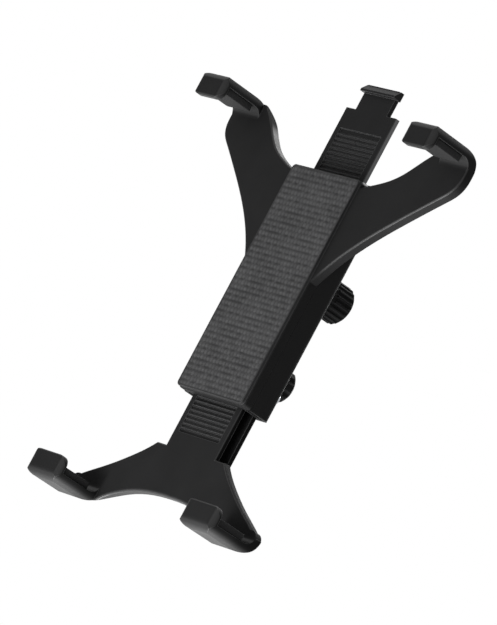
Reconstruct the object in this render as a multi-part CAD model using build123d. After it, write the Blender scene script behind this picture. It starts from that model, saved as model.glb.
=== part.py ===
from build123d import *
import math
import os

os.makedirs("parts", exist_ok=True)

# Tablet holder for a car: a padded housing with two upper arms, and a ribbed slider with two lower arms.
# Sizes are in mm. X is across the holder, Y runs from the tablet to the back, and Z runs up the slider.
# The source is drawn from the middle of the pad's front face. At the end every piece is moved so that
# the mouth of the rear socket is the origin.

# Pad
PAD_WIDTH = 43.4
PAD_LENGTH = 99.4
PAD_THICKNESS = 1.6
PAD_CORNER = 1.8
PAD_ROWS = 41
PAD_ROW_PITCH = 2.39
PAD_ROW_DEPTH = 0.45
PAD_EDGE = 0.4

# Housing, front plate and rear channel
HOUSING_HALF = 22.0
HOUSING_LENGTH = 100.0
HOUSING_CORNER = 1.6
PLATE_FRONT = PAD_THICKNESS
PLATE_THICKNESS = 4.0
PLATE_BACK = PLATE_FRONT + PLATE_THICKNESS
CASE_BACK = 16.6
CASE_WALL = 1.8
CASE_BACK_WALL = 2.25
CASE_INNER_BACK = CASE_BACK - CASE_BACK_WALL
CASE_ROUND = 3.0
RAIL_THICKNESS = 1.6
EDGE_ROUND = 0.8

# Upper arms and claws
ARM_ROOT_LOW = 5.1
ARM_ROOT_HIGH = 47.3
ARM_ROOT_X = 18.0
ARM_SIDE = 62.0
ARM_TIP = 76.7
UPPER_INNER = 59.0
UPPER_TOP = 72.3
UPPER_LIP_END = 61.7
UPPER_FRONT = -20.8
LIP_THICKNESS = 3.2
SHELF_THICKNESS = 4.2
KNEE_ROUND = 8.6
LIP_ROUND = 3.8
LIP_TIP = 0.9
LIP_SIDE = 3.0
LIP_CORNER = 4.2
KNEE_INNER = 4.2

# Slider bar
BAR_HALF = 16.3
BAR_FRONT = PLATE_BACK + 0.15
BAR_BACK = CASE_INNER_BACK - 0.2
BAR_FACE = 2.0
BAR_EDGE = 0.6
WEB_X = 9.6
WEB_THICKNESS = 2.0
REAR_FLANGE = 2.0
BAR_TOP = 79.3
BAR_FOOT = -83.0
BAR_END_WALL = 2.4
FOOT_SLOPE = 3.0
FLANGE_TOP = -13.0
FLANGE_SLOPE = 14.0
JOIN = 0.5
BAR_INNER = BAR_FRONT + BAR_FACE
RIB_HALF = 13.2
RIB_LOW = -66.0
RIB_HIGH = 70.4
RIB_PITCH = 2.0
RIB_DEPTH = 0.7
RIB_SINK = 0.1

# Snap tail on the slider
TAIL_HALF = 10.0
TAIL_TOP = 90.4
CATCH_HALF = 11.0
CATCH_LOW = 86.8
CATCH_REACH = 1.8
CATCH_NOSE = 1.0
CATCH_RAMP = 0.4

# Lower arms and claws
FORK_THICKNESS = 3.3
FORK_ROUND = 1.0
FORK_BACK = BAR_FRONT + FORK_THICKNESS
SHOULDER_HALF = 22.5
SHOULDER_TOP = -72.5
FORK_ARCH = -92.3
LOWER_INNER = 41.3
LOWER_OUTER = 62.2
LOWER_SIDE = -97.0
LOWER_BOTTOM = -105.0
ARCH_FOOT = 1.5
LOWER_LIP_END = -94.2
LOWER_FRONT = -16.3

# Soft liners in the claws
LINER_THICKNESS = 3.0
LINER_INSET = 0.9
LINER_GAP = 0.05
LINER_ROUND = 0.7

# Rear socket and ring nut
SOCKET_Z = 8.6
COLLET_R = 6.5
COLLET_MOUTH = 34.6
SOCKET_R = 5.0
SOCKET_STRAIGHT = 7.4
SLIT_WIDTH = 1.2
SLIT_LENGTH = 9.0
SLIT_COUNT = 4
FLANGE_HALF = 8.0
FLANGE_THICKNESS = 2.0
KEY_THICKNESS = 1.2
COLLAR_R = 9.6
COLLAR_HEIGHT = 2.2
NUT_R = 8.2
NUT_FRONT = 22.4
NUT_BACK = 37.0
NUT_SHOULDER = 35.0
NUT_MOUTH_R = 5.5
NUT_COLLAR = 27.6
NUT_COLLAR_R = 7.8
NUT_FLUTES = 20
FLUTE_R = 0.95
RUNNING_GAP = 0.08

# Slider lock
LOCK_Z = -31.0
LOCK_BOSS_R = 6.2
LOCK_BOSS_TOP = 19.0
INSERT_R = 3.6
STUD_R = 2.45
STUD_TIP = 9.5
KNOB_R = 7.3
KNOB_FRONT = 19.6
KNOB_BACK = 31.3
KNOB_LOBES = 8
KNOB_NOTCH_R = 1.5
KNOB_NECK_R = 5.2
SHOE_HALF_X = 7.2
SHOE_HALF_Z = 8.0
SHOE_FRONT = BAR_INNER + 0.1
SHOE_THICKNESS = 3.2

# Case screws
SCREW_X = 19.2
SCREW_Z = 40.0
SCREW_BOSS_R = 2.5
SCREW_HEAD_R = 2.1
SCREW_HEAD_HEIGHT = 1.2
SCREW_SINK = 1.6
SCREW_R = 1.15
SCREW_TIP = 2.9
PILOT_R = 1.2
SLOT_WIDTH = 0.6
SLOT_DEPTH = 0.6


def slab(sketch, front, back):
    """Extrude an outline drawn in X and Z from the front level to the back level."""
    return extrude(Plane.XZ.offset(-back) * sketch, amount=back - front)


def bar_along_x(sketch, low, high):
    """Extrude an outline drawn in Y and Z along X."""
    return extrude(Plane.YZ.offset(low) * sketch, amount=high - low)


def box(x0, x1, y0, y1, z0, z1):
    """A block between two corners."""
    middle = Pos((x0 + x1) / 2, (y0 + y1) / 2, (z0 + z1) / 2)
    return middle * Box(x1 - x0, y1 - y0, z1 - z0)


def drum(radius, y0, y1, z=0.0, x=0.0):
    """A cylinder along Y between two levels."""
    return Pos(x, (y0 + y1) / 2, z) * Rot(90, 0, 0) * Cylinder(radius, y1 - y0)


def closed(*curves):
    """A face inside a closed chain of curves."""
    return make_face(Curve() + list(curves))


def both_sides(piece):
    """The piece on the right and its mirror image on the left."""
    return piece + mirror(piece, about=Plane.YZ)


def hook_profile(front, plate_front, plate_back, top, lip_end):
    """Side view of one upper claw: plate, round knee, shelf and the lip turned down over the tablet."""
    shelf = top - SHELF_THICKNESS
    lip_inner = front + LIP_THICKNESS
    knee = top - KNEE_ROUND
    hollow = shelf - KNEE_INNER
    return closed(
        Line((plate_back, lip_end), (plate_back, knee)),
        RadiusArc((plate_back, knee), (plate_back - KNEE_ROUND, top), -KNEE_ROUND),
        Line((plate_back - KNEE_ROUND, top), (front + LIP_ROUND, top)),
        RadiusArc((front + LIP_ROUND, top), (front, top - LIP_ROUND), -LIP_ROUND),
        Line((front, top - LIP_ROUND), (front, lip_end + LIP_TIP)),
        RadiusArc((front, lip_end + LIP_TIP), (front + LIP_TIP, lip_end), -LIP_TIP),
        Line((front + LIP_TIP, lip_end), (lip_inner - LIP_TIP, lip_end)),
        RadiusArc((lip_inner - LIP_TIP, lip_end), (lip_inner, lip_end + LIP_TIP), -LIP_TIP),
        Line((lip_inner, lip_end + LIP_TIP), (lip_inner, shelf)),
        Line((lip_inner, shelf), (plate_front - KNEE_INNER, shelf)),
        RadiusArc((plate_front - KNEE_INNER, shelf), (plate_front, hollow), KNEE_INNER),
        Line((plate_front, hollow), (plate_front, lip_end)),
        Line((plate_front, lip_end), (plate_back, lip_end)),
    )


def claw(front, plate_front, plate_back, top, lip_end, inner, outer):
    """One upper claw on the right: the side view run along X.

    Its corners are rounded as seen from the front, and the lip's sides as seen from above.
    """
    hook = bar_along_x(hook_profile(front, plate_front, plate_back, top, lip_end), inner, outer)
    middle = (inner + outer) / 2
    front_window = RectangleRounded(outer - inner, top - lip_end, LIP_CORNER)
    front_window = Pos(middle, (top + lip_end) / 2) * front_window
    hook &= slab(front_window, front - 1, plate_back + 1)
    depth = 2 * (plate_back - front)
    top_window = Pos(middle, front + depth / 2) * RectangleRounded(outer - inner, depth, LIP_SIDE)
    return hook & extrude(Plane.XY.offset(lip_end) * top_window, amount=top - lip_end)


def knee_cut(plate_back, top):
    """The corner that the round knee takes off the flat plate's upper end."""
    knee = top - KNEE_ROUND
    shelf_end = plate_back - KNEE_ROUND
    corner = closed(
        Polyline((plate_back, knee), (plate_back + 1, knee), (plate_back + 1, top + 1),
                 (shelf_end, top + 1), (shelf_end, top)),
        RadiusArc((shelf_end, top), (plate_back, knee), KNEE_ROUND),
    )
    return bar_along_x(corner, -ARM_TIP - 1, ARM_TIP + 1)


def rounded_edges(piece, level, radius):
    """Round the outline edges of a flat piece on one Y level."""
    edges = piece.edges().filter_by_position(Axis.Y, level - 0.01, level + 0.01)
    return fillet(edges, radius)


# Upper arm, seen from the front: an S curve below, a hollow curve above
arm_outline = closed(
    Line((ARM_ROOT_X, ARM_ROOT_HIGH), (ARM_ROOT_X, ARM_ROOT_LOW)),
    Line((ARM_ROOT_X, ARM_ROOT_LOW), (HOUSING_HALF, ARM_ROOT_LOW)),
    Spline((HOUSING_HALF, ARM_ROOT_LOW), (35.0, 22.0), (57.7, 41.6), (70.0, 51.0), (ARM_TIP, ARM_SIDE),
           tangents=((0.5, 0.86), (0, 1))),
    Line((ARM_TIP, ARM_SIDE), (ARM_TIP, UPPER_TOP - LIP_CORNER)),
    RadiusArc((ARM_TIP, UPPER_TOP - LIP_CORNER), (ARM_TIP - LIP_CORNER, UPPER_TOP), -LIP_CORNER),
    Line((ARM_TIP - LIP_CORNER, UPPER_TOP), (UPPER_INNER, UPPER_TOP)),
    Spline((UPPER_INNER, UPPER_TOP), (51.2, 65.4), (41.0, 55.8), (HOUSING_HALF, ARM_ROOT_HIGH),
           tangents=((-0.7, -0.72), (-0.94, -0.34))),
    Line((HOUSING_HALF, ARM_ROOT_HIGH), (ARM_ROOT_X, ARM_ROOT_HIGH)),
)
arms = both_sides(slab(arm_outline, PLATE_FRONT, PLATE_BACK))
plate = slab(RectangleRounded(2 * HOUSING_HALF, HOUSING_LENGTH, HOUSING_CORNER), PLATE_FRONT, PLATE_BACK)
front_housing = rounded_edges(plate + arms, PLATE_FRONT, EDGE_ROUND)
front_housing -= knee_cut(PLATE_BACK, UPPER_TOP)
front_housing += both_sides(
    claw(UPPER_FRONT, PLATE_FRONT, PLATE_BACK, UPPER_TOP, UPPER_LIP_END, UPPER_INNER, ARM_TIP))
for x in (-SCREW_X, SCREW_X):
    for z in (-SCREW_Z, SCREW_Z):
        front_housing -= drum(PILOT_R, SCREW_TIP - 0.2, PLATE_BACK, z, x)

# Grip pad: ridges across the front, inside a plain edge
pad_block = slab(RectangleRounded(PAD_WIDTH, PAD_LENGTH, PAD_CORNER), 0, PAD_THICKNESS)
grip_pad = fillet(pad_block.edges().filter_by_position(Axis.Y, -0.01, 0.01), PAD_EDGE)
valley_half = PAD_ROW_PITCH * 0.3
for row in range(PAD_ROWS):
    z = (row - (PAD_ROWS - 1) / 2) * PAD_ROW_PITCH
    valley = closed(Polyline((0, z - valley_half), (PAD_ROW_DEPTH, z), (0, z + valley_half), close=True))
    grip_pad -= bar_along_x(valley, -PAD_WIDTH / 2 + 1.0, PAD_WIDTH / 2 - 1.0)

# Rear housing: a channel open at both ends, with two guide rails and four screw posts
case_outline = Pos(0, (PLATE_BACK + CASE_BACK) / 2) * Rectangle(2 * HOUSING_HALF, CASE_BACK - PLATE_BACK)
case_outline = fillet(case_outline.vertices().group_by(Axis.Y)[-1], CASE_ROUND)
rear_housing = extrude(Plane.XY.offset(-HOUSING_LENGTH / 2) * case_outline, amount=HOUSING_LENGTH)
cavity_half = HOUSING_HALF - CASE_WALL
case_half_z = HOUSING_LENGTH / 2
rear_housing -= box(-cavity_half, cavity_half, PLATE_BACK, CASE_INNER_BACK, -case_half_z, case_half_z)
rail_inner = BAR_HALF + 0.2
rear_housing += both_sides(
    box(rail_inner, rail_inner + RAIL_THICKNESS, PLATE_BACK, CASE_INNER_BACK, -case_half_z, case_half_z))
rear_housing += drum(COLLAR_R, CASE_BACK - 1, CASE_BACK + COLLAR_HEIGHT, SOCKET_Z)
rear_housing -= drum(COLLET_R + RUNNING_GAP, CASE_INNER_BACK, CASE_BACK + COLLAR_HEIGHT, SOCKET_Z)
key_inner = FLANGE_HALF + 0.1
rear_housing += both_sides(
    box(key_inner, key_inner + KEY_THICKNESS, CASE_INNER_BACK - FLANGE_THICKNESS, CASE_INNER_BACK,
        SOCKET_Z - FLANGE_HALF, SOCKET_Z + FLANGE_HALF))
rear_housing += drum(LOCK_BOSS_R, CASE_BACK - 1, LOCK_BOSS_TOP, LOCK_Z)
rear_housing -= drum(INSERT_R + 0.02, CASE_INNER_BACK, LOCK_BOSS_TOP, LOCK_Z)
for x in (-SCREW_X, SCREW_X):
    for z in (-SCREW_Z, SCREW_Z):
        rear_housing += drum(SCREW_BOSS_R, PLATE_BACK, CASE_INNER_BACK, z, x)
        rear_housing -= drum(SCREW_R + 0.2, PLATE_BACK, CASE_BACK, z, x)
        rear_housing -= drum(SCREW_HEAD_R + 0.2, CASE_BACK - SCREW_SINK, CASE_BACK, z, x)

# Slider: a ribbed plate, a grooved rail behind its lower half, the fork with two claws, and the snap tail
slider_bar = box(-BAR_HALF, BAR_HALF, BAR_FRONT, BAR_INNER, BAR_FOOT, BAR_TOP)
slider_bar = fillet(slider_bar.edges().filter_by(Axis.Z).group_by(Axis.Y)[0], BAR_EDGE)
foot_back = SHOULDER_TOP - FOOT_SLOPE
flange_root = BAR_INNER - JOIN
web = closed(Polyline(
    (flange_root, BAR_FOOT), (FORK_BACK, BAR_FOOT), (BAR_BACK, foot_back),
    (BAR_BACK, FLANGE_TOP - FLANGE_SLOPE), (BAR_INNER, FLANGE_TOP), (flange_root, FLANGE_TOP), close=True))
slider_bar += both_sides(bar_along_x(web, WEB_X - WEB_THICKNESS, WEB_X))
slider_bar += both_sides(box(WEB_X - JOIN, BAR_HALF, BAR_BACK - REAR_FLANGE, BAR_BACK,
                             foot_back, FLANGE_TOP - FLANGE_SLOPE))
foot_wall = closed(Polyline(
    (flange_root, BAR_FOOT), (FORK_BACK, BAR_FOOT), (BAR_BACK, foot_back),
    (BAR_BACK, foot_back + BAR_END_WALL), (flange_root, foot_back + BAR_END_WALL), close=True))
slider_bar += bar_along_x(foot_wall, -BAR_HALF, BAR_HALF)
slider_bar -= box(-RIB_HALF, RIB_HALF, BAR_FRONT, BAR_FRONT + RIB_DEPTH, RIB_LOW, RIB_HIGH)
rib_count = int((RIB_HIGH - RIB_LOW) / RIB_PITCH) - 1
rib_half = RIB_PITCH * 0.32
rib_tip = rib_half / 3
rib_base = BAR_FRONT + RIB_DEPTH
rib_top = BAR_FRONT + RIB_SINK
for row in range(rib_count):
    z = RIB_LOW + RIB_PITCH * (row + 1)
    rib = closed(Polyline(
        (rib_base + RIB_SINK, z - rib_half), (rib_base, z - rib_half), (rib_top, z - rib_tip),
        (rib_top, z + rib_tip), (rib_base, z + rib_half), (rib_base + RIB_SINK, z + rib_half), close=True))
    slider_bar += bar_along_x(rib, -RIB_HALF, RIB_HALF)
fork_half = closed(
    Line((0, SHOULDER_TOP), (SHOULDER_HALF, SHOULDER_TOP)),
    Spline((SHOULDER_HALF, SHOULDER_TOP), (34.3, -81.3), (46.3, -88.2), (LOWER_OUTER, LOWER_SIDE),
           tangents=((0.72, -0.69), (0.8, -0.6))),
    Line((LOWER_OUTER, LOWER_SIDE), (LOWER_OUTER, LOWER_BOTTOM)),
    Line((LOWER_OUTER, LOWER_BOTTOM), (LOWER_INNER + ARCH_FOOT, LOWER_BOTTOM)),
    Spline((LOWER_INNER + ARCH_FOOT, LOWER_BOTTOM), (31.5, -97.4), (0, FORK_ARCH),
           tangents=((-0.6, 0.8), (-1, 0))),
    Line((0, FORK_ARCH), (0, SHOULDER_TOP)),
)
fork = both_sides(slab(fork_half, BAR_FRONT, FORK_BACK))
fork = rounded_edges(fork, BAR_FRONT, FORK_ROUND)
fork -= mirror(knee_cut(FORK_BACK, -LOWER_BOTTOM), about=Plane.XY)
fork_corner = closed(
    RadiusArc((LOWER_OUTER, LOWER_BOTTOM + LIP_CORNER), (LOWER_OUTER - LIP_CORNER, LOWER_BOTTOM), LIP_CORNER),
    Polyline((LOWER_OUTER - LIP_CORNER, LOWER_BOTTOM), (LOWER_OUTER - LIP_CORNER, LOWER_BOTTOM - 1),
             (LOWER_OUTER + 1, LOWER_BOTTOM - 1), (LOWER_OUTER + 1, LOWER_BOTTOM + LIP_CORNER),
             (LOWER_OUTER, LOWER_BOTTOM + LIP_CORNER)),
)
fork -= both_sides(slab(fork_corner, BAR_FRONT - 1, FORK_BACK + 1))
lower_claw = claw(
    LOWER_FRONT, BAR_FRONT, FORK_BACK, -LOWER_BOTTOM, -LOWER_LIP_END, LOWER_INNER, LOWER_OUTER)
fork += both_sides(mirror(lower_claw, about=Plane.XY))
slider_bar += fork
slider_bar += box(-TAIL_HALF, TAIL_HALF, BAR_FRONT, BAR_INNER, BAR_TOP - 1, TAIL_TOP)
catch_front = BAR_FRONT - CATCH_REACH
catch_profile = closed(Polyline(
    (BAR_INNER, CATCH_LOW), (catch_front, CATCH_LOW), (catch_front, CATCH_LOW + CATCH_NOSE),
    (BAR_FRONT + CATCH_RAMP, TAIL_TOP), (BAR_INNER, TAIL_TOP), close=True))
slider_bar += bar_along_x(catch_profile, -CATCH_HALF, CATCH_HALF)


def liner(front, plate_front, outside, inner, outer):
    """A soft block on the shelf of one claw, between its lip and its plate."""
    way = math.copysign(1, outside)
    seat = outside - way * (SHELF_THICKNESS + LINER_GAP)
    face = seat - way * LINER_THICKNESS
    block = box(inner + LINER_INSET, outer - LINER_INSET, front + LIP_THICKNESS + LINER_GAP,
                plate_front - KNEE_INNER - LINER_GAP, min(seat, face), max(seat, face))
    return fillet(block.edges().filter_by_position(Axis.Z, face - 0.01, face + 0.01), LINER_ROUND)


upper_right_liner = liner(UPPER_FRONT, PLATE_FRONT, UPPER_TOP, UPPER_INNER, ARM_TIP)
lower_right_liner = liner(LOWER_FRONT, BAR_FRONT, LOWER_BOTTOM, LOWER_INNER, LOWER_OUTER)
upper_left_liner = mirror(upper_right_liner, about=Plane.YZ)
lower_left_liner = mirror(lower_right_liner, about=Plane.YZ)

# Socket collet: square flange inside the case, split fingers round a socket with a round bottom
flange_front = CASE_INNER_BACK - FLANGE_THICKNESS
socket_collet = slab(Pos(0, SOCKET_Z) * RectangleRounded(2 * FLANGE_HALF, 2 * FLANGE_HALF, 1.5),
                     flange_front, CASE_INNER_BACK)
socket_collet += drum(COLLET_R, CASE_INNER_BACK - 1, COLLET_MOUTH, SOCKET_Z)
socket_end = COLLET_MOUTH - SOCKET_STRAIGHT
socket_collet -= drum(SOCKET_R, socket_end, COLLET_MOUTH, SOCKET_Z)
socket_collet -= Pos(0, socket_end, SOCKET_Z) * Sphere(SOCKET_R)
for turn in range(SLIT_COUNT // 2):
    slit = box(-COLLET_R - 1, COLLET_R + 1, COLLET_MOUTH - SLIT_LENGTH, COLLET_MOUTH,
               -SLIT_WIDTH / 2, SLIT_WIDTH / 2)
    socket_collet -= Pos(0, 0, SOCKET_Z) * Rot(0, 45 + 90 * turn, 0) * slit

# Ring nut: a plain collar, a fluted rim behind it and a shoulder over the collet's mouth
nut_section = closed(Polyline(
    (COLLET_R + RUNNING_GAP, NUT_FRONT), (NUT_COLLAR_R - 0.5, NUT_FRONT), (NUT_COLLAR_R, NUT_FRONT + 0.5),
    (NUT_COLLAR_R, NUT_COLLAR), (NUT_R, NUT_COLLAR + 0.4), (NUT_R, NUT_BACK - 0.8), (NUT_R - 0.8, NUT_BACK),
    (NUT_MOUTH_R + 0.6, NUT_BACK), (NUT_MOUTH_R, NUT_BACK - 0.6), (NUT_MOUTH_R, NUT_SHOULDER),
    (COLLET_R + RUNNING_GAP, NUT_SHOULDER), close=True))
ring_nut = revolve(nut_section, Axis.Y)
for flute in range(NUT_FLUTES):
    groove = drum(FLUTE_R, NUT_COLLAR - 1, NUT_BACK + 1, 0, NUT_R + 0.25)
    ring_nut -= Rot(0, 360 / NUT_FLUTES * flute, 0) * groove
ring_nut = Pos(0, 0, SOCKET_Z) * ring_nut

# Slider lock: lobed knob, steel stud, brass insert and the shoe that presses on the slider
knob_section = closed(Polyline(
    (0, KNOB_FRONT), (KNOB_NECK_R, KNOB_FRONT), (KNOB_NECK_R, KNOB_FRONT + 1.6), (KNOB_R, KNOB_FRONT + 2.4),
    (KNOB_R, KNOB_BACK - 1.2), (KNOB_R - 1.2, KNOB_BACK), (0, KNOB_BACK), close=True))
lock_knob = revolve(knob_section, Axis.Y)
for lobe in range(KNOB_LOBES):
    notch = drum(KNOB_NOTCH_R, KNOB_FRONT, KNOB_BACK + 1, 0, KNOB_R + 0.5)
    lock_knob -= Rot(0, 360 / KNOB_LOBES * (lobe + 0.5), 0) * notch
stud_end = KNOB_BACK - 4.0
lock_knob -= drum(STUD_R + 0.02, KNOB_FRONT, stud_end + 0.05)
lock_knob = Pos(0, 0, LOCK_Z) * lock_knob
lock_stud = drum(STUD_R, STUD_TIP, stud_end, LOCK_Z)
lock_stud = chamfer(lock_stud.edges().filter_by_position(Axis.Y, STUD_TIP - 0.01, STUD_TIP + 0.01), 0.5)
lock_insert = drum(INSERT_R, CASE_INNER_BACK + 0.1, LOCK_BOSS_TOP - 0.1, LOCK_Z)
lock_insert -= drum(STUD_R + RUNNING_GAP, CASE_INNER_BACK, LOCK_BOSS_TOP, LOCK_Z)
shoe_back = SHOE_FRONT + SHOE_THICKNESS
pressure_shoe = slab(Pos(0, LOCK_Z) * RectangleRounded(2 * SHOE_HALF_X, 2 * SHOE_HALF_Z, 1.5),
                     SHOE_FRONT, shoe_back)
pressure_shoe -= drum(STUD_R + RUNNING_GAP, STUD_TIP - 0.1, shoe_back, LOCK_Z)

# Case screws: flat round heads with a cross slot
head_front = CASE_BACK - SCREW_SINK
head_back = head_front + SCREW_HEAD_HEIGHT
screw = drum(SCREW_HEAD_R, head_front, head_back)
screw += drum(SCREW_R, SCREW_TIP, head_front)
slot_half = SCREW_HEAD_R * 0.6
screw -= box(-slot_half, slot_half, head_back - SLOT_DEPTH, head_back, -SLOT_WIDTH / 2, SLOT_WIDTH / 2)
screw -= box(-SLOT_WIDTH / 2, SLOT_WIDTH / 2, head_back - SLOT_DEPTH, head_back, -slot_half, slot_half)
case_screws = Compound(children=[
    Pos(x, 0, z) * screw for x in (-SCREW_X, SCREW_X) for z in (-SCREW_Z, SCREW_Z)])

# The socket's mouth becomes the origin
pieces = {
    "front_housing": front_housing,
    "rear_housing": rear_housing,
    "grip_pad": grip_pad,
    "slider_bar": slider_bar,
    "upper_right_liner": upper_right_liner,
    "upper_left_liner": upper_left_liner,
    "lower_right_liner": lower_right_liner,
    "lower_left_liner": lower_left_liner,
    "socket_collet": socket_collet,
    "ring_nut": ring_nut,
    "lock_knob": lock_knob,
    "lock_stud": lock_stud,
    "lock_insert": lock_insert,
    "pressure_shoe": pressure_shoe,
    "case_screws": case_screws,
}
for name, piece in pieces.items():
    export_step(Pos(0, -COLLET_MOUTH, -SOCKET_Z) * piece, f"parts/{name}.step")
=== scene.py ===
"""Looks of a tablet holder for a car: moulded black plastic, a ribbed rubber pad and foam claw liners."""

import math

import bpy
import numpy as np
from mathutils import Matrix, Vector


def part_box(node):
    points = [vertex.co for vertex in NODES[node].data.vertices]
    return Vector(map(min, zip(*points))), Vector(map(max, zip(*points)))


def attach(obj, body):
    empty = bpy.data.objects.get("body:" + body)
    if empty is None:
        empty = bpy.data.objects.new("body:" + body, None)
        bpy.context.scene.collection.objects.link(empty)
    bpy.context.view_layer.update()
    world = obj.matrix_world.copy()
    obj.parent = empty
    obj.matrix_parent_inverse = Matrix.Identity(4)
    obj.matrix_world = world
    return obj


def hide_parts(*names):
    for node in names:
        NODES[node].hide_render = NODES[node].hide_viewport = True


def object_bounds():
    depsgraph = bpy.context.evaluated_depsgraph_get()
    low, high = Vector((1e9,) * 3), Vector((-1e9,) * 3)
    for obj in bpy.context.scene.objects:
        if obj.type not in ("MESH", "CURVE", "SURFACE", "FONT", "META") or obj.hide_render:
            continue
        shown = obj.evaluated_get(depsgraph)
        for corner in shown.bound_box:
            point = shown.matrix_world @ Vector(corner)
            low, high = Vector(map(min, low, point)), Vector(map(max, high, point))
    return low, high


bl_info = {
    "name": "Tablet holder",
    "version": (1, 0, 0),
    "blender": (4, 5, 0),
    "location": "3D View > Sidebar > Holder",
    "description": "Pad, claw liners, finishes and studio for a tablet holder",
    "category": "Object",
}

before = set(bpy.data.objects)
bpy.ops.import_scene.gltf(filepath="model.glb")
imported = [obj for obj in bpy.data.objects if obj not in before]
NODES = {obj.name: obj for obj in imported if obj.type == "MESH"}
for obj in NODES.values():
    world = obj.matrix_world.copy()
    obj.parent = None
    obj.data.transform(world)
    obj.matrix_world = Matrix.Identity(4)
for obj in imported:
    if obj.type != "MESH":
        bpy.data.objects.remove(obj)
CAD_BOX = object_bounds()
MM = 0.001
TURN = 2 * math.pi
TINY = 1e-12
WHITE = (1.0, 1.0, 1.0, 1.0)

# Places read from the frame
PAD_LOW, PAD_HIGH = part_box("grip_pad")
PAD_CENTRE = Vector(((PAD_LOW.x + PAD_HIGH.x) / 2, PAD_LOW.y, (PAD_LOW.z + PAD_HIGH.z) / 2))
PAD_HALF = PAD_HIGH.x - PAD_CENTRE.x
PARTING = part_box("rear_housing")[0].y
CLAW_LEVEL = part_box("upper_right_liner")[0].z
STUD_LOW, STUD_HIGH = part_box("lock_stud")
NUT_LOW, NUT_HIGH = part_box("ring_nut")
LIP_LINERS = ("upper_left_liner", "upper_right_liner", "lower_left_liner", "lower_right_liner")
LINER_BODIES = {"upper": "housing", "lower": "slider"}

# Reach of the masks on the mouldings
ARM_NEAR = 1.0 * MM
ARM_FAR = 5.0 * MM
POCKET_FADE = 3.0 * MM
POCKET_NEAR = 5.0 * MM
POCKET_FAR = 11.0 * MM
GROOVE_FADE = 20.0 * MM
RAIL_INNER = 13.0 * MM
RAIL_OUTER = 15.0 * MM
SEAM_INNER = 0.05 * MM
SEAM_OUTER = 0.22 * MM
SEAM_DEPTH = 2.0

# Ranges over which a part of the normal starts or ends a mask
ROLL_STARTS = (0.12, 0.4)
ROLL_ENDS = (0.88, 0.985)
FACES_BACK = (0.1, 0.4)
FACES_UP = (0.05, 0.3)
FACES_ASIDE = (0.3, 0.6)
SIDE_WALL = (0.75, 0.97)
STEEP_UNDERSIDE = (0.74, 0.97)
WIDE_UNDERSIDE = (0.3, 0.85)
PAD_FACE = (0.3, 0.8)

# Edges, worn and painted paler as a highlight: the rounding, the range of the edge mask, and how much paler
# they are painted than the colour
SHELL_EDGE = 0.55 * MM
KNOB_EDGE = 0.4 * MM
COLLET_EDGE = 0.3 * MM
EDGE_SAMPLES = 6
EDGE_RANGE = (0.995, 0.86)
SHELL_WEAR_AND_HIGHLIGHT = 4.0
SLIDER_WEAR_AND_HIGHLIGHT = 6.5
WEAR_AND_HIGHLIGHT_BY_PAD = 0.3

# Polish on the mouldings, as Coat Weight
ROLL_COAT = 0.65
WALL_COAT = 0.8
LEAST_COAT = 0.45
CLOUDED_COAT = 0.3

# Noise in features per metre
SPARK_GRAIN = 2600.0
SATIN_GRAIN = 3200.0
RUBBER_GRAIN = 3000.0
FOAM_CELLS = 1700.0
TURNING_MARKS = 2400.0
ZINC_SPANGLE = 900.0
SCUFF_LINES = 420.0
KNOB_CLOUDS = 160.0
FOAM_CLOUDS = 110.0
SHELL_CLOUDS = 70.0
PAD_CLOUDS = 55.0
FLOOR_CLOUDS = 1.5

# Stretch and range of the noise masks
SCUFF_STRETCH = (1.0, 1.0, 0.12)
SCUFF_RANGE = (0.62, 0.75)
MARK_STRETCH = (0.05, 1.0, 0.05)
BLOOM_RANGE = (0.35, 0.75)

# Roughness before the masks change it
SHELL_ROUGH = 0.5
KNOB_ROUGH = 0.42
COLLET_ROUGH = 0.5
RUBBER_ROUGH = 0.78
FOAM_ROUGH = 0.82
STEEL_ROUGH = 0.28
BRASS_ROUGH = 0.3
FLOOR_ROUGH = 0.9

# Depth of the bump
SPARK_DEPTH = 0.035 * MM
SATIN_DEPTH = 0.02 * MM
RUBBER_DEPTH = 0.06 * MM
CELL_DEPTH = 0.12 * MM
MARK_DEPTH = 0.02 * MM

# Threads
COLLET_PITCH = 1.5 * MM
COLLET_THREAD = 0.35 * MM
STUD_PITCH = 0.8 * MM
STUD_THREAD = 0.25 * MM
STUD_REACH = (3.0 * MM, 3.2 * MM)

# Shape of the pad's pattern
GOLDEN = 0.618
CREST_WIDTH = 0.6
DIP_WIDTH = 0.2
DASH_DRIFT = 2.7
PICK_ROW = 12.9898
PICK_BRICK = 78.233
PICK_SPREAD = 43758.5453

# Fineness of the made pieces
PITCH_POINTS = 8
ROLL_POINTS = 5
LINER_ROWS = 40
LINER_COLUMNS = 72
FLOOR_SIDES = 64

# Stage: the floor's shades, the camera's reach, and each lamp's place from the pad's middle and its size
FLOOR_DARK = 0.78
FLOOR_PALE = 0.82
CLIP_NEAR = 0.05
CLIP_FAR = 50.0
LAMPS = {
    "key": (Vector((-0.9, -1.5, 1.1)), 1.4),
    "low": (Vector((0.1, -0.45, -0.48)), 0.4),
    "under": (Vector((0.05, 0.02, -0.85)), 0.5),
    "rim": (Vector((0.1, 0.8, 1.1)), 0.6),
    "rear": (Vector((-0.9, 1.4, 0.5)), 1.4),
}


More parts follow.
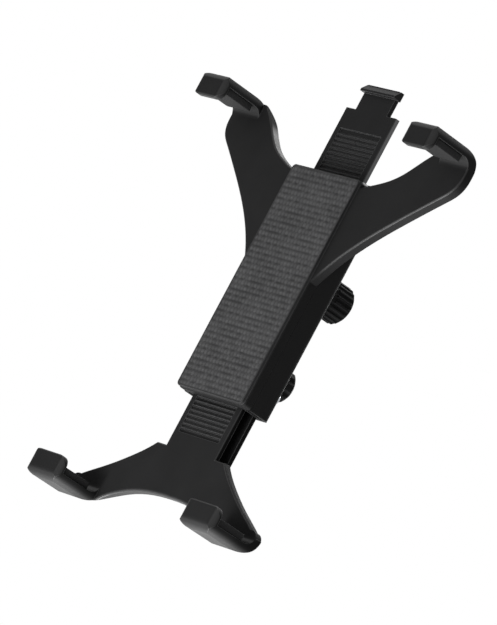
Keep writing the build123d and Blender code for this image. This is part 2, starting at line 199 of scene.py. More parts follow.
class HolderSizes(bpy.types.PropertyGroup):
    """Sizes of the made pieces."""

    row_pitch: bpy.props.FloatProperty(
        name="Row pitch", description="Distance between the pad's rows",
        default=2.4 * MM, unit="LENGTH")
    brick_pitch: bpy.props.FloatProperty(
        name="Brick pitch", description="Length of one raised brick in a row",
        default=2.1 * MM, unit="LENGTH")
    relief: bpy.props.FloatProperty(
        name="Relief", description="Depth of the pad's pattern",
        default=0.42 * MM, unit="LENGTH")
    brick_dip: bpy.props.FloatProperty(
        name="Brick dip", description="Depth of the dips between bricks, as a share of the relief",
        default=0.5)
    brick_uneven: bpy.props.FloatProperty(
        name="Brick unevenness", description="How much the bricks differ in height",
        default=0.35)
    dash_pitch: bpy.props.FloatProperty(
        name="Dash pitch", description="Length over which a groove fades in and out",
        default=11.0 * MM, unit="LENGTH")
    dash_wander: bpy.props.FloatProperty(
        name="Dash wander", description="How far the fading strays, in dash pitches",
        default=0.7)
    dash_least: bpy.props.FloatProperty(
        name="Least groove", description="Depth of a groove where it is faded",
        default=0.3)
    pad_corner: bpy.props.FloatProperty(
        name="Pad corner", description="Corner radius of the pad",
        default=1.8 * MM, unit="LENGTH")
    pad_border: bpy.props.FloatProperty(
        name="Pad border", description="Plain border round the pattern",
        default=0.55 * MM, unit="LENGTH")
    pad_roll: bpy.props.FloatProperty(
        name="Pad roll", description="Edge radius of the pad",
        default=0.45 * MM, unit="LENGTH")
    liner_square: bpy.props.FloatProperty(
        name="Liner squareness", description="Exponent of the liner's rounded block",
        default=0.12, min=0.05, max=1.0)


class HolderColours(bpy.types.PropertyGroup):
    """Colours of the finishes."""

    plastic: bpy.props.FloatVectorProperty(
        name="Plastic", description="Moulded shells",
        subtype="COLOR", default=(0.0135, 0.0135, 0.0137))
    knob: bpy.props.FloatVectorProperty(
        name="Knob plastic", description="Ring nut and lock knob",
        subtype="COLOR", default=(0.0068, 0.0068, 0.007))
    rubber: bpy.props.FloatVectorProperty(
        name="Pad rubber", description="Grip pad",
        subtype="COLOR", default=(0.05, 0.05, 0.051))
    foam: bpy.props.FloatVectorProperty(
        name="Liner foam", description="Claw liners",
        subtype="COLOR", default=(0.009, 0.009, 0.0092))
    steel: bpy.props.FloatVectorProperty(
        name="Zinc steel", description="Stud and screws",
        subtype="COLOR", default=(0.42, 0.43, 0.45))
    brass: bpy.props.FloatVectorProperty(
        name="Brass", description="Threaded insert",
        subtype="COLOR", default=(0.72, 0.52, 0.24))


class HolderStudio(bpy.types.PropertyGroup):
    """Camera and light."""

    azimuth: bpy.props.FloatProperty(
        name="Azimuth", description="Camera's turn round the holder",
        default=math.radians(53.33), subtype="ANGLE")
    elevation: bpy.props.FloatProperty(
        name="Elevation", description="Camera's height angle",
        default=math.radians(-9.5), subtype="ANGLE")
    roll: bpy.props.FloatProperty(
        name="Roll", description="Camera's turn round its own axis",
        default=math.radians(28.05), subtype="ANGLE")
    distance: bpy.props.FloatProperty(
        name="Distance", description="Camera to pad",
        default=2.381, unit="LENGTH")
    lens: bpy.props.FloatProperty(
        name="Lens", description="Focal length in mm",
        default=352.5)
    shift: bpy.props.FloatVectorProperty(
        name="Shift", description="Camera shift",
        size=2, default=(-0.0303, -0.0486))
    ambient: bpy.props.FloatProperty(
        name="Ambient", description="World light on the holder",
        default=0.38)
    key: bpy.props.FloatProperty(
        name="Key", description="Power of the key lamp in watts",
        default=6.0)
    low: bpy.props.FloatProperty(
        name="Low", description="Power of the low front lamp in watts",
        default=3.6)
    under: bpy.props.FloatProperty(
        name="Under", description="Power of the lamp straight below in watts",
        default=16.0)
    rim: bpy.props.FloatProperty(
        name="Rim", description="Power of the lamp above and behind in watts",
        default=10.0)
    rear: bpy.props.FloatProperty(
        name="Rear", description="Power of the soft lamp behind in watts",
        default=18.0)
    floor_drop: bpy.props.FloatProperty(
        name="Floor drop", description="Floor below the holder's lowest point",
        default=0.85, unit="LENGTH")
    floor_radius: bpy.props.FloatProperty(
        name="Floor radius", description="Reach of the floor",
        default=4.0, unit="LENGTH")
    floor_glow: bpy.props.FloatProperty(
        name="Floor glow", description="Light that the floor gives",
        default=0.35)


class Value:
    """A number in a node tree. Arithmetic on it adds Math nodes."""

    def __init__(self, nodes, socket):
        self.nodes = nodes
        self.socket = socket

    def maths(self, operation, *others, clamp=False):
        """A Math node on this value and the others."""
        settings = {"operation": operation, "use_clamp": clamp}
        made = self.nodes.node("ShaderNodeMath", settings, dict(enumerate((self, *others))))
        return Value(self.nodes, made.outputs[0])

    def __add__(self, other):
        return self.maths("ADD", other)

    def __sub__(self, other):
        return self.maths("SUBTRACT", other)

    def __mul__(self, other):
        return self.maths("MULTIPLY", other)

    def __truediv__(self, other):
        return self.maths("DIVIDE", other)

    def __pow__(self, other):
        return self.maths("POWER", other)

    def __rsub__(self, other):
        return (self * -1.0) + other

    __radd__ = __add__
    __rmul__ = __mul__

    def size(self):
        """The value without its sign."""
        return self.maths("ABSOLUTE")

    def or_more(self, other):
        """The larger of two values."""
        return self.maths("MAXIMUM", other)

    def clamped(self):
        """The value held between 0 and 1."""
        return self.maths("ADD", 0.0, clamp=True)


class Nodes:
    """The node tree of a material or a world, emptied to start with."""

    def __init__(self, owner):
        owner.use_nodes = True
        self.tree = owner.node_tree
        self.tree.nodes.clear()

    def node(self, kind, settings=None, sockets=None):
        """A node of one kind: its settings first, then the values or links of its sockets."""
        made = self.tree.nodes.new(kind)
        for name, value in (settings or {}).items():
            setattr(made, name, value)
        for name, value in (sockets or {}).items():
            self.feed(made.inputs[name], value)
        return made

    def feed(self, socket, value):
        """Link a value or an output to a socket, or set a constant on it."""
        if isinstance(value, Value):
            self.tree.links.new(value.socket, socket)
        elif isinstance(value, bpy.types.NodeSocket):
            self.tree.links.new(value, socket)
        else:
            socket.default_value = value


class Finish(Nodes):
    """A node material around one Principled shader."""

    def __init__(self, name):
        self.material = bpy.data.materials.new(name)
        super().__init__(self.material)
        self.shader = self.node("ShaderNodeBsdfPrincipled")
        self.node("ShaderNodeOutputMaterial", sockets={"Surface": self.shader.outputs[0]})
        self.place = self.node("ShaderNodeTexCoord").outputs["Object"]

    def parts(self, vector):
        """The three parts of a vector as values."""
        split = self.node("ShaderNodeSeparateXYZ", sockets={"Vector": vector})
        return tuple(Value(self, output) for output in split.outputs)

    def axes(self):
        """The three object coordinates as values."""
        return self.parts(self.place)

    def facing(self):
        """The three parts of the object's own normal as values."""
        return self.parts(self.node("ShaderNodeTexCoord").outputs["Normal"])

    def noise(self, scale, detail=2.0, roughness=0.5, stretch=(1.0, 1.0, 1.0)):
        """Noise from 0 to 1 with features of about 1/scale metres, drawn out where the stretch is small."""
        where = self.node("ShaderNodeMapping", sockets={"Vector": self.place, "Scale": stretch}).outputs[0]
        made = self.node("ShaderNodeTexNoise", sockets={
            "Vector": where, "Scale": scale, "Detail": detail, "Roughness": roughness})
        return Value(self, made.outputs[0])

    def band(self, value, low, high):
        """A smooth step from 0 at the low end to 1 at the high end."""
        made = self.node("ShaderNodeMapRange", {"interpolation_type": "SMOOTHSTEP"}, {
            "Value": value, "From Min": low, "From Max": high, "To Min": 0.0, "To Max": 1.0})
        return Value(self, made.outputs[0])

    def mix(self, factor, colour, other):
        """One colour going to the other as the factor goes from 0 to 1."""
        made = self.node("ShaderNodeMix", {"data_type": "RGBA"}, {0: factor, 6: colour, 7: other})
        return made.outputs[2]

    def mottled(self, mask, colour, dark, pale):
        """A colour that goes from a darker shade to a paler one with a mask."""
        return self.mix(mask, shade(colour, dark), shade(colour, pale))

    def stained(self, tone, mask, colour, share, factor):
        """A tone that takes a share of another shade of the colour where the mask is 1."""
        return self.mix(mask * share, tone, shade(colour, factor))

    def varied(self, base, *changes):
        """A base value that each mask changes by its amount, held between 0 and 1."""
        total = base
        for mask, amount in changes:
            total = mask * amount + total
        return total.clamped()

    def edges(self, radius):
        """Normal with rounded edges, and a mask that is 1 on convex edges."""
        rounded = self.node("ShaderNodeBevel", {"samples": EDGE_SAMPLES}, {"Radius": radius}).outputs[0]
        flat = self.node("ShaderNodeNewGeometry").outputs["True Normal"]
        dot = self.node("ShaderNodeVectorMath", {"operation": "DOT_PRODUCT"}, {0: rounded, 1: flat})
        return rounded, self.band(Value(self, dot.outputs["Value"]), *EDGE_RANGE)

    def bump(self, height, distance, strength=1.0, normal=None):
        """A Bump node on a height from 0 to 1."""
        sockets = {"Height": height, "Distance": distance, "Strength": strength}
        if normal is not None:
            sockets["Normal"] = normal
        return self.node("ShaderNodeBump", sockets=sockets).outputs[0]

    def finished(self, colour, roughness, normal=None, coat=None, **constants):
        """Feed the shader and give the material."""
        self.feed(self.shader.inputs["Base Color"], colour)
        self.feed(self.shader.inputs["Roughness"], roughness)
        if normal is not None:
            self.feed(self.shader.inputs["Normal"], normal)
        if coat is not None:
            self.feed(self.shader.inputs["Coat Weight"], coat)
        for name, value in constants.items():
            self.shader.inputs[name.replace("_", " ")].default_value = value
        return self.material


def shade(colour, factor):
    """An opaque colour, darker or lighter by a factor."""
    return tuple(channel * factor for channel in colour) + (1.0,)


def polished(finish, down):
    """A mask of the polished parts: the rolled front edges, and the walls that face down by a range."""
    _, along, up = finish.facing()
    forward = along * -1.0
    rolls = finish.band(forward, *ROLL_STARTS) * (1.0 - finish.band(forward, *ROLL_ENDS))
    undersides = finish.band(up * -1.0, *down) * (1.0 - finish.band(along, *FACES_BACK))
    return (rolls * ROLL_COAT).or_more(undersides)


def inner_walls(finish):
    """A mask of the upper arms' walls that face up and sideways, below the claws."""
    across, along, up = finish.facing()
    below = 1.0 - finish.band(finish.axes()[2], CLAW_LEVEL - POCKET_NEAR, CLAW_LEVEL)
    front = 1.0 - finish.band(along, *FACES_BACK)
    return finish.band(up, *FACES_UP) * finish.band(across.size(), *FACES_ASIDE) * front * below


def pocket_shade(finish, liner):
    """A mask of painted shade behind a pair of lips: beside the liner, near its level and at its back."""
    low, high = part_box(liner)
    x, y, z = finish.axes()
    aside = finish.band(x.size(), low.x - POCKET_FADE, low.x)
    level = 1.0 - finish.band((z - (low.z + high.z) / 2).size(), POCKET_NEAR, POCKET_FAR)
    behind = finish.band(y, (low.y + high.y) / 2, high.y)
    return aside * level * behind


def moulded_plastic(name, colour, wear_and_highlight, down, parting=None, pocket=None):
    """Spark-textured black plastic: fine grain, faint flow marks, edges smoother where worn and painted
    paler as a highlight, and side walls painted darker as shade.

    After the colour comes how much paler an edge is painted, and down is the range of the polished
    undersides. A shell has a parting line at a depth along Y and is dull near the pad. The slider has
    painted shade in its grooves below, rails above that are polished and painted paler as a highlight, and
    painted shade in a pocket behind the lips, which is found by a liner's name.
    """
    finish = Finish(name)
    x, y, z = finish.axes()
    height = finish.noise(SPARK_GRAIN, detail=3.0, roughness=0.6)
    clouds = finish.noise(SHELL_CLOUDS)
    lines = finish.noise(SCUFF_LINES, detail=3.0, roughness=0.6, stretch=SCUFF_STRETCH)
    scuffs = finish.band(lines, *SCUFF_RANGE)
    rounded, edge_wear_and_highlight = finish.edges(SHELL_EDGE)
    aside = (x - PAD_CENTRE.x).size()
    beside = finish.band(aside, PAD_HALF + ARM_NEAR, PAD_HALF + ARM_FAR)
    walls = finish.band(finish.facing()[0].size(), *SIDE_WALL)
    coat = polished(finish, down) * (LEAST_COAT + clouds * CLOUDED_COAT)
    tone = finish.mottled(clouds, colour, dark=0.8, pale=1.25)
    tone = finish.stained(tone, scuffs, colour, share=0.25, factor=1.7)
    if parting is not None:
        edge_wear_and_highlight = edge_wear_and_highlight * (WEAR_AND_HIGHLIGHT_BY_PAD + beside * (1.0 - WEAR_AND_HIGHLIGHT_BY_PAD))
        coat = (coat * beside).or_more(inner_walls(finish) * WALL_COAT)
    if pocket is not None:
        bar = walls * (1.0 - beside)
        above = finish.band(z, PAD_LOW.z, PAD_LOW.z + GROOVE_FADE)
        rails = bar * above * finish.band(aside, RAIL_INNER, RAIL_OUTER)
        # Painted shade: the slider's side walls below the pad are painted near black, as in a shaded groove.
        tone = finish.stained(tone, bar * (1.0 - above), colour, share=0.9, factor=0.08)
        # Painted highlight: the rails' walls above the pad are painted paler; the coat gives their polish.
        tone = finish.stained(tone, rails, colour, share=0.9, factor=5.0)
        coat = coat.or_more(rails)
        walls = walls * beside
    # Painted shade: side walls are painted darker than the faces that look forward.
    tone = finish.stained(tone, walls, colour, share=0.6, factor=0.4)
    # Painted highlight: the edges are painted paler than the colour.
    tone = finish.stained(tone, edge_wear_and_highlight, colour, share=0.8, factor=wear_and_highlight)
    if pocket is not None:
        # Painted shade in the pocket behind the lips.
        tone = finish.stained(tone, pocket_shade(finish, pocket), colour, share=0.75, factor=0.3)
    if parting is not None:
        seam = 1.0 - finish.band((y - parting).size(), SEAM_INNER, SEAM_OUTER)
        tone = finish.stained(tone, seam, colour, share=0.7, factor=0.25)
        height = height - seam * SEAM_DEPTH
    normal = finish.bump(height, SPARK_DEPTH, strength=0.8, normal=rounded)
    roughness = finish.varied(SHELL_ROUGH, (clouds, 0.08), (edge_wear_and_highlight, -0.12), (scuffs, 0.06))
    return finish.finished(tone, roughness, normal, coat, Specular_IOR_Level=0.025, Coat_Roughness=0.4)


def fluted_plastic(name, colour):
    """Satin knob plastic, polished a little on the crests by fingers, with the edges painted paler as a
    highlight.
    """
    finish = Finish(name)
    clouds = finish.noise(KNOB_CLOUDS)
    grain = finish.noise(SATIN_GRAIN)
    rounded, edge_wear_and_highlight = finish.edges(KNOB_EDGE)
    tone = finish.mottled(clouds, colour, dark=0.8, pale=1.3)
    # Painted highlight: the edges are painted paler.
    tone = finish.stained(tone, edge_wear_and_highlight, colour, share=0.6, factor=2.4)
    roughness = finish.varied(KNOB_ROUGH, (clouds, 0.1), (edge_wear_and_highlight, -0.1))
    normal = finish.bump(grain, SATIN_DEPTH, strength=0.6, normal=rounded)
    return finish.finished(tone, roughness, normal, Specular_IOR_Level=0.02)


def thread_wave(finish, centre, pitch):
    """A screw thread round an axis along Y: a sine from 0 to 1, once per turn and once per pitch."""
    x, y, z = finish.axes()
    turn = (x - centre.x).maths("ARCTAN2", z - centre.z) / TURN
    return ((y / pitch + turn) * TURN).maths("SINE") * 0.5 + 0.5


def threaded_plastic(name, colour, centre, pitch):
    """Collet plastic with a screw thread, and edges painted paler as a highlight."""
    finish = Finish(name)
    clouds = finish.noise(KNOB_CLOUDS)
    rounded, edge_wear_and_highlight = finish.edges(COLLET_EDGE)
    tone = finish.mottled(clouds, colour, dark=0.8, pale=1.2)
    # Painted highlight: the edges are painted paler.
    tone = finish.stained(tone, edge_wear_and_highlight, colour, share=0.4, factor=2.0)
    normal = finish.bump(thread_wave(finish, centre, pitch), COLLET_THREAD, strength=0.8, normal=rounded)
    roughness = finish.varied(COLLET_ROUGH, (clouds, 0.1))
    return finish.finished(tone, roughness, normal, Specular_IOR_Level=0.09)


def pad_rubber(name, colour):
    """Matt anti-slip rubber: painted shade in the grooves and on the sides, a powdery bloom and a fine open
    grain.
    """
    finish = Finish(name)
    relief = Value(finish, finish.node("ShaderNodeAttribute", {"attribute_name": "relief"}).outputs["Fac"])
    grain = finish.noise(RUBBER_GRAIN, detail=3.0, roughness=0.65)
    bloom = finish.band(finish.noise(PAD_CLOUDS, detail=3.0), *BLOOM_RANGE)
    cut = 1.0 - finish.band(finish.facing()[1] * -1.0, *PAD_FACE)
    # Painted shade: the tone is darker where the relief is low, in the grooves, and paler on the crests.
    tone = finish.mottled(relief, colour, dark=0.38, pale=1.25)
    tone = finish.stained(tone, bloom, colour, share=0.35, factor=1.5)
    tone = finish.stained(tone, grain, colour, share=0.3, factor=0.7)
    # Painted shade: the pad's sides, which face away from the front, are painted darker.
    tone = finish.stained(tone, cut, colour, share=0.8, factor=0.15)
    normal = finish.bump(grain, RUBBER_DEPTH, strength=0.9)
    roughness = finish.varied(RUBBER_ROUGH, (grain, 0.12), (relief, -0.06))
    return finish.finished(tone, roughness, normal, Specular_IOR_Level=0.2)


def liner_foam(name, colour):
    """Closed-cell foam: a skin of small cells, paler between them."""
    finish = Finish(name)
    made = finish.node("ShaderNodeTexVoronoi", sockets={"Vector": finish.place, "Scale": FOAM_CELLS})
    cells = Value(finish, made.outputs["Distance"])
    clouds = finish.noise(FOAM_CLOUDS)
    tone = finish.mottled(clouds, colour, dark=0.8, pale=1.25)
    tone = finish.stained(tone, cells, colour, share=0.6, factor=1.6)
    normal = finish.bump(cells, CELL_DEPTH, strength=0.7)
    roughness = finish.varied(FOAM_ROUGH, (clouds, 0.1))
    return finish.finished(tone, roughness, normal, Specular_IOR_Level=0.2)


def zinc_steel(name, colour, centre, pitch):
    """Zinc plate over turned steel: fine spangle, and a thread near the stud's axis."""
    finish = Finish(name)
    x, _, z = finish.axes()
    away = ((x - centre.x) ** 2.0 + (z - centre.z) ** 2.0).maths("SQRT")
    near = 1.0 - finish.band(away, *STUD_REACH)
    spangle = finish.noise(ZINC_SPANGLE)
    tone = finish.mottled(spangle, colour, dark=0.75, pale=1.15)
    normal = finish.bump(thread_wave(finish, centre, pitch) * near, STUD_THREAD, strength=0.7)
    roughness = finish.varied(STEEL_ROUGH, (spangle, 0.2))
    return finish.finished(tone, roughness, normal, Metallic=1.0)


def turned_brass(name, colour):
    """Brass insert with fine turning marks along Y."""
    finish = Finish(name)
    marks = finish.noise(TURNING_MARKS, stretch=MARK_STRETCH)
    tone = finish.mottled(marks, colour, dark=0.8, pale=1.1)
    roughness = finish.varied(BRASS_ROUGH, (marks, 0.15))
    return finish.finished(tone, roughness, finish.bump(marks, MARK_DEPTH), Metallic=1.0)


def mesh_object(name, points, faces):
    """A smooth mesh object with its place in its mesh."""
    mesh = bpy.data.meshes.new(name)
    mesh.from_pydata(points.tolist(), [], faces)
    mesh.update()
    mesh.shade_smooth()
    made = bpy.data.objects.new(name, mesh)
    bpy.context.scene.collection.objects.link(made)
    return made


def grid_faces(rows, columns):
    """Quads between neighbouring points of a grid stored row by row."""
    corner = (np.arange(rows - 1)[:, None] * columns + np.arange(columns - 1)[None, :]).ravel()
    return np.stack([corner, corner + 1, corner + columns + 1, corner + columns], axis=1)


def pad_relief(x, z, sizes):
    """Height of the pad's pattern from 0 to 1.

    Rows across the pad are raised cosines along Z. The groove between two rows fades in and out along X as
    a sine, whose phase steps by the golden ratio from groove to groove and wanders with a slower sine, so
    that the dark lines break up into dashes. Narrow dips cut each row into bricks, moved from row to row by
    the same ratio. Each brick has its own height, picked by the fraction left over from a large sine of its
    row and number.
    """
    row = z / sizes.row_pitch
    groove = np.floor(row)
    wander = sizes.dash_wander * np.sin(TURN * (x / (sizes.dash_pitch * DASH_DRIFT) - GOLDEN * groove))
    open_part = 0.5 + 0.5 * np.sin(TURN * (x / sizes.dash_pitch + GOLDEN * groove + wander))
    deep = sizes.dash_least + (1.0 - sizes.dash_least) * open_part
    crest = (0.5 + 0.5 * np.cos(TURN * row)) ** CREST_WIDTH
    number = np.round(row)
    along = x / sizes.brick_pitch + number * GOLDEN
    gap = along - np.round(along)
    dip = 1.0 - sizes.brick_dip * np.exp(-((gap / DIP_WIDTH) ** 2))
    pick = np.mod(np.sin(number * PICK_ROW + np.floor(along) * PICK_BRICK) * PICK_SPREAD, 1.0)
    return (1.0 - deep * (1.0 - crest)) * dip * (1.0 - sizes.brick_uneven * pick)


def pad_surface(low, high, sizes):
    """Points, faces and relief of the pad.

    A grid over X and Z is drawn into a rectangle with round corners: near a corner the square grid is pulled
    on to quarter circles. The outer rings of the grid go over a quarter round to the back plane. The pattern
    sets in over the border with a smooth step, three squares less two cubes.
    """
    half = np.array(((high.x - low.x) / 2, (high.z - low.z) / 2))
    centre = np.array(((high.x + low.x) / 2, (high.z + low.z) / 2))
    roll = sizes.pad_roll
    steps = np.linspace(0.0, np.pi / 2, ROLL_POINTS)
    rim = roll * (1 - np.sin(steps[::-1]))
    sides = []
    for size, pitch in zip(half, (sizes.brick_pitch, sizes.row_pitch)):
        count = int(round(2 * (size - roll) / (pitch / PITCH_POINTS))) + 1
        middle = np.linspace(-(size - roll), size - roll, count)
        edge = size - rim[:-1]
        sides.append(np.concatenate([-edge[:1], -edge, middle, edge[::-1], edge[:1]]))
    x, z = np.meshgrid(sides[0], sides[1], indexing="ij")
    inset = np.minimum(half[0] - np.abs(x), half[1] - np.abs(z))
    radius = sizes.pad_corner
    over_x = np.maximum(np.abs(x) - half[0] + radius, 0)
    over_z = np.maximum(np.abs(z) - half[1] + radius, 0)
    length = np.hypot(over_x, over_z)
    pull = np.where(length > 0, np.maximum(over_x, over_z) / np.maximum(length, TINY), 1.0)
    round_x = np.sign(x) * (np.abs(x) - over_x * (1 - pull))
    round_z = np.sign(z) * (np.abs(z) - over_z * (1 - pull))
    fade = np.clip((inset - roll) / sizes.pad_border, 0, 1)
    relief = pad_relief(x, z, sizes) * fade * fade * (3 - 2 * fade)
    lift = np.where(inset < roll, roll - np.sqrt(np.maximum(roll ** 2 - (roll - inset) ** 2, 0)), 0.0)
    depth = low.y + lift + sizes.relief * (1 - relief) * np.where(inset < roll, 0, 1) * (fade > 0)
    depth[[0, -1], :] = high.y
    depth[:, [0, -1]] = high.y
    points = np.stack([round_x + centre[0], depth, round_z + centre[1]], axis=-1).reshape(-1, 3)
    rows, columns = x.shape
    index = np.arange(rows * columns).reshape(rows, columns)
    ring = np.concatenate([index[:-1, 0], index[-1, :-1], index[:0:-1, -1], index[0, :0:-1]])
    faces = grid_faces(rows, columns).tolist() + [ring[::-1].tolist()]
    return points, faces, relief.ravel()


def rounded_block(low, high, squareness):
    """A closed foam block: a superellipsoid, whose cosines and sines are raised to a small power.

    The latitude runs from pole to pole along Z and the longitude round it. Both poles are closed with fans.
    """
    centre = (low + high) / 2
    half = (high - low) / 2
    latitude = np.linspace(-np.pi / 2, np.pi / 2, LINER_ROWS)[1:-1, None]
    longitude = np.linspace(0, TURN, LINER_COLUMNS, endpoint=False)[None, :]

    def power(value):
        return np.sign(value) * np.abs(value) ** squareness

    x = centre.x + half.x * power(np.cos(latitude)) * power(np.cos(longitude))
    y = centre.y + half.y * power(np.cos(latitude)) * power(np.sin(longitude))
    z = centre.z + half.z * power(np.sin(latitude)) * np.ones_like(longitude)
    body = np.stack([x, y, z], axis=-1).reshape(-1, 3)
    poles = np.array([(centre.x, centre.y, low.z), (centre.x, centre.y, high.z)])
    points = np.concatenate([body, poles])
    index = np.arange(len(body)).reshape(x.shape)
    after = np.roll(index, -1, axis=1)
    walls = np.stack([index[:-1], after[:-1], after[1:], index[1:]], axis=-1).reshape(-1, 4)
    foot = np.stack([after[0], index[0], np.full(LINER_COLUMNS, len(body))], axis=1)
    crown = np.stack([index[-1], after[-1], np.full(LINER_COLUMNS, len(body) + 1)], axis=1)
    return points, walls.tolist() + foot.tolist() + crown.tolist()


def give(node, material):
    """Put one finish on a CAD node."""
    slots = NODES[node].data.materials
    slots.clear()
    slots.append(material)


class HOLDER_OT_grip_pad(bpy.types.Operator):
    """Make the ribbed rubber pad on the front of the housing"""

    bl_idname = "holder.grip_pad"
    bl_label = "Grip pad"

    def execute(self, context):
        sizes = context.scene.holder_sizes
        points, faces, relief = pad_surface(PAD_LOW, PAD_HIGH, sizes)
        pad = mesh_object("woven_pad", points, faces)
        layer = pad.data.attributes.new("relief", "FLOAT", "POINT")
        layer.data.foreach_set("value", relief.astype(np.float32))
        pad.data.materials.append(pad_rubber("pad_rubber", context.scene.holder_colours.rubber))
        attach(pad, "housing")
        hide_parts("grip_pad")
        return {"FINISHED"}


class HOLDER_OT_claw_liners(bpy.types.Operator):
    """Make the foam liners on the shelves of the four claws"""

    bl_idname = "holder.claw_liners"
    bl_label = "Claw liners"

    def execute(self, context):
        foam = liner_foam("liner_foam", context.scene.holder_colours.foam)
        for node in LIP_LINERS:
            low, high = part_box(node)
            points, faces = rounded_block(low, high, context.scene.holder_sizes.liner_square)
            liner = mesh_object(f"{node}_foam", points, faces)
            liner.data.materials.append(foam)
            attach(liner, LINER_BODIES[node.split("_")[0]])
            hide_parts(node)
        return {"FINISHED"}


class HOLDER_OT_moulded_shells(bpy.types.Operator):
    """Give the housing halves, the slider and the inner mouldings their plastic"""

    bl_idname = "holder.moulded_shells"
    bl_label = "Moulded shells"

    def execute(self, context):
        colour = context.scene.holder_colours.plastic
        shell = moulded_plastic("housing_plastic", colour, SHELL_WEAR_AND_HIGHLIGHT, STEEP_UNDERSIDE, parting=PARTING)
        slider = moulded_plastic(
            "slider_plastic", colour, SLIDER_WEAR_AND_HIGHLIGHT, WIDE_UNDERSIDE, pocket="lower_right_liner")
        give("front_housing", shell)
        give("rear_housing", shell)
        give("slider_bar", slider)
        give("pressure_shoe", moulded_plastic("shoe_plastic", colour, SHELL_WEAR_AND_HIGHLIGHT, WIDE_UNDERSIDE))
        socket = (NUT_LOW + NUT_HIGH) / 2
        give("socket_collet", threaded_plastic("collet_plastic", colour, socket, COLLET_PITCH))
        return {"FINISHED"}


class HOLDER_OT_turning_knobs(bpy.types.Operator):
    """Give the ring nut and the lock knob their fluted plastic"""

    bl_idname = "holder.turning_knobs"
    bl_label = "Turning knobs"

    def execute(self, context):
        knob = fluted_plastic("knob_plastic", context.scene.holder_colours.knob)
        give("ring_nut", knob)
        give("lock_knob", knob)
        return {"FINISHED"}


class HOLDER_OT_metal_parts(bpy.types.Operator):
    """Give the stud, the screws and the insert their metal"""

    bl_idname = "holder.metal_parts"
    bl_label = "Metal parts"

    def execute(self, context):
        colours = context.scene.holder_colours
        steel = zinc_steel("zinc_steel", colours.steel, (STUD_LOW + STUD_HIGH) / 2, STUD_PITCH)
        give("lock_stud", steel)
        give("case_screws", steel)
        give("lock_insert", turned_brass("insert_brass", colours.brass))
        return {"FINISHED"}


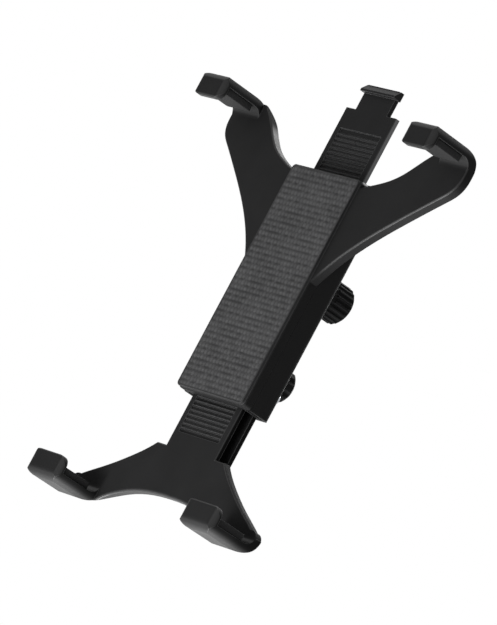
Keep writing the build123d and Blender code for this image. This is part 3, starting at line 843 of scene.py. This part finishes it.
class HOLDER_OT_studio(bpy.types.Operator):
    """Make the floor, the lamps, the white surround and the camera"""

    bl_idname = "holder.studio"
    bl_label = "Studio"

    def execute(self, context):
        studio = context.scene.holder_studio
        context.scene.view_settings.view_transform = "Standard"
        self.lay_floor(studio)
        self.light_surround(context.scene, studio)
        self.hang_lamps(context.scene, studio)
        self.set_camera(context.scene, studio)
        return {"FINISHED"}

    def lay_floor(self, studio):
        """A pale round floor that glows a little: one face on a circle of points."""
        level = CAD_BOX[0].z - studio.floor_drop
        angle = np.linspace(0, TURN, FLOOR_SIDES, endpoint=False)
        circle = np.stack([np.cos(angle), np.sin(angle)], axis=-1) * studio.floor_radius
        points = np.concatenate([circle, np.full((FLOOR_SIDES, 1), level)], axis=1)
        floor = mesh_object("floor", points, [list(range(FLOOR_SIDES))])
        finish = Finish("pale_floor")
        tone = finish.mottled(finish.noise(FLOOR_CLOUDS), WHITE[:3], dark=FLOOR_DARK, pale=FLOOR_PALE)
        floor.data.materials.append(finish.finished(
            tone, FLOOR_ROUGH, Specular_IOR_Level=0.1, Emission_Color=WHITE,
            Emission_Strength=studio.floor_glow))

    def light_surround(self, scene, studio):
        """White where the camera and reflections look, and a plain ambient level for the rest."""
        scene.world = bpy.data.worlds.new("white_surround")
        nodes = Nodes(scene.world)
        path = nodes.node("ShaderNodeLightPath").outputs
        seen = Value(nodes, path["Is Camera Ray"])
        for bounce in ("Is Glossy Ray", "Is Transmission Ray"):
            seen = seen.or_more(Value(nodes, path[bounce]))
        plain = nodes.node("ShaderNodeBackground", sockets={"Color": WHITE, "Strength": studio.ambient})
        white = nodes.node("ShaderNodeBackground", sockets={"Color": WHITE, "Strength": 1.0})
        choose = nodes.node("ShaderNodeMixShader", sockets={
            0: seen, 1: plain.outputs[0], 2: white.outputs[0]})
        nodes.node("ShaderNodeOutputWorld", sockets={"Surface": choose.outputs[0]})

    def hang_lamps(self, scene, studio):
        """Square lamps aimed at the pad's middle. The studio's value of the same name is the power."""
        for name, (offset, size) in LAMPS.items():
            lamp = bpy.data.lights.new(name, "AREA")
            lamp.size = size
            lamp.energy = getattr(studio, name)
            made = bpy.data.objects.new(name, lamp)
            made.location = PAD_CENTRE + offset
            made.visible_camera = False
            made.rotation_euler = (-offset).to_track_quat("-Z", "Y").to_euler()
            scene.collection.objects.link(made)

    def set_camera(self, scene, studio):
        """The photograph's camera: on a line out of the pad's middle, rolled about that line."""
        turn, rise, roll = studio.azimuth, studio.elevation, studio.roll
        back = Vector((math.sin(turn) * math.cos(rise), -math.cos(turn) * math.cos(rise), math.sin(rise)))
        right = Vector((math.cos(turn), math.sin(turn), 0.0))
        up = back.cross(right)
        rolled_right = right * math.cos(roll) + up * math.sin(roll)
        rolled_up = up * math.cos(roll) - right * math.sin(roll)
        lens = bpy.data.cameras.new("camera")
        lens.lens = studio.lens
        lens.shift_x, lens.shift_y = studio.shift
        lens.clip_start = CLIP_NEAR
        lens.clip_end = CLIP_FAR
        camera = bpy.data.objects.new("camera", lens)
        basis = Matrix((rolled_right, rolled_up, back)).transposed()
        camera.matrix_world = Matrix.Translation(PAD_CENTRE + back * studio.distance) @ basis.to_4x4()
        scene.collection.objects.link(camera)
        scene.camera = camera


class HOLDER_PT_panel(bpy.types.Panel):
    """Buttons for each group of pieces"""

    bl_idname = "HOLDER_PT_panel"
    bl_label = "Tablet holder"
    bl_space_type = "VIEW_3D"
    bl_region_type = "UI"
    bl_category = "Holder"

    def draw(self, context):
        for operator in OPERATORS:
            self.layout.operator(operator.bl_idname)
        for name, group in GROUPS.items():
            for value in group.__annotations__:
                self.layout.prop(getattr(context.scene, name), value)


OPERATORS = (
    HOLDER_OT_grip_pad, HOLDER_OT_claw_liners, HOLDER_OT_moulded_shells, HOLDER_OT_turning_knobs,
    HOLDER_OT_metal_parts, HOLDER_OT_studio)
GROUPS = {"holder_sizes": HolderSizes, "holder_colours": HolderColours, "holder_studio": HolderStudio}


def register():
    """Add the classes, and the three groups of values to the scene."""
    for group in GROUPS.values():
        bpy.utils.register_class(group)
    for operator in OPERATORS:
        bpy.utils.register_class(operator)
    bpy.utils.register_class(HOLDER_PT_panel)
    for name, group in GROUPS.items():
        setattr(bpy.types.Scene, name, bpy.props.PointerProperty(type=group))


def unregister():
    """Take away what register added."""
    for name in GROUPS:
        delattr(bpy.types.Scene, name)
    bpy.utils.unregister_class(HOLDER_PT_panel)
    for operator in reversed(OPERATORS):
        bpy.utils.unregister_class(operator)
    for group in GROUPS.values():
        bpy.utils.unregister_class(group)


def main():
    register()
    bpy.ops.holder.grip_pad()
    bpy.ops.holder.claw_liners()
    bpy.ops.holder.moulded_shells()
    bpy.ops.holder.turning_knobs()
    bpy.ops.holder.metal_parts()
    bpy.ops.holder.studio()


if __name__ == "__main__":
    main()
